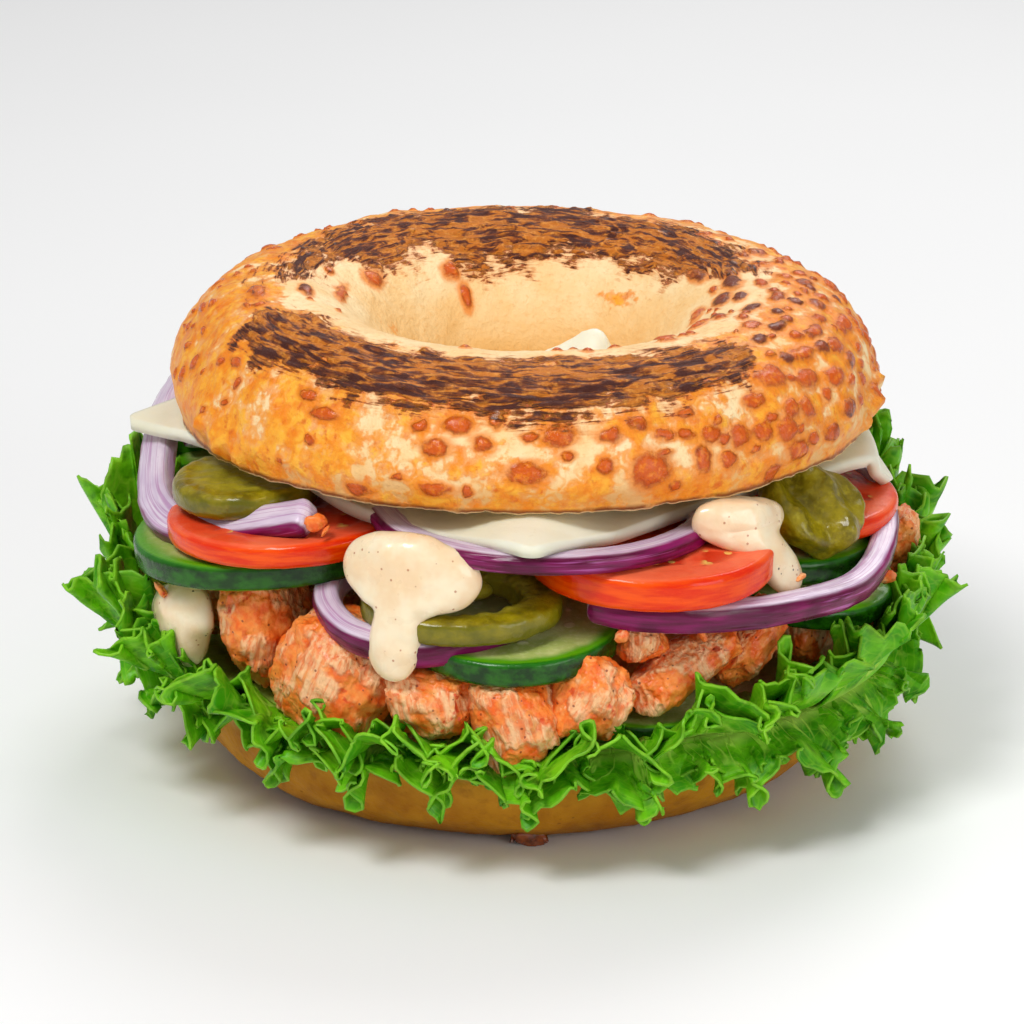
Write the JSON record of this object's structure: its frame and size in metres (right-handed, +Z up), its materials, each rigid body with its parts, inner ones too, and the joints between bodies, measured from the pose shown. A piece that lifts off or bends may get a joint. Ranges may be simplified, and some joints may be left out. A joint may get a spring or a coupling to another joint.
{
  "type": "filled bagel",
  "caption": "Sliced bagel with a toasted cheese crust, filled with frilly lettuce, chicken, cucumber, tomato, red onion, jalapeno, white cheese and sauce.",
  "frame": {"origin": "under the middle of the whole, lettuce included, at the height of the heel's flat base", "axes": "+Z up through the stack; -Y is the front"},
  "size_m": [0.1398, 0.1374, 0.0771],
  "materials": {
    "crust": "toasted, cheese-crusted bread",
    "dough": "plain baked bread",
    "cheese": "satin white cheese",
    "sauce": "glossy cream sauce with specks",
    "spread": "soft white spread",
    "lettuce": "fresh leaf",
    "chicken": "seasoned, moist meat",
    "cucumber": "moist slice with a dark green skin",
    "tomato": "moist slice with a glossy skin",
    "onion": "crisp, with a purple skin and lilac flesh",
    "jalapeno": "pickled, wet"
  },
  "bodies": {
    "root": {"bagel_crown": "crust", "bagel_heel": "dough", "cheese_slice": "cheese", "chicken_01": "chicken", "chicken_02": "chicken", "chicken_03": "chicken", "chicken_04": "chicken", "chicken_05": "chicken", "chicken_06": "chicken", "chicken_07": "chicken", "chicken_08": "chicken", "chicken_09": "chicken", "chicken_10": "chicken", "chicken_11": "chicken", "chicken_12": "chicken", "chicken_13": "chicken", "chicken_14": "chicken", "chicken_15": "chicken", "chicken_16": "chicken", "chicken_17": "chicken", "chicken_18": "chicken", "chicken_core": "chicken", "cucumber_back": "cucumber", "cucumber_back_left": "cucumber", "cucumber_back_right": "cucumber", "cucumber_front": "cucumber", "cucumber_left": "cucumber", "cucumber_right": "cucumber", "cucumber_right_low": "cucumber", "cucumber_side_left": "cucumber", "cucumber_side_right": "cucumber", "cucumber_under": "cucumber", "jalapeno_back": "jalapeno", "jalapeno_front": "jalapeno", "jalapeno_left": "jalapeno", "jalapeno_right": "jalapeno", "lettuce_back": "lettuce", "lettuce_front": "lettuce", "lettuce_left": "lettuce", "lettuce_low_back": "lettuce", "lettuce_low_front": "lettuce", "lettuce_right": "lettuce", "onion_back_left": "onion", "onion_back_right": "onion", "onion_front": "onion", "onion_left": "onion", "onion_low": "onion", "onion_right": "onion", "sauce_back": "sauce", "sauce_front": "sauce", "sauce_left": "sauce", "sauce_right": "sauce", "spread_dab": "spread", "tomato_back_left": "tomato", "tomato_back_right": "tomato", "tomato_left": "tomato", "tomato_right": "tomato", "tomato_right_low": "tomato"}
  },
  "joints": []
}
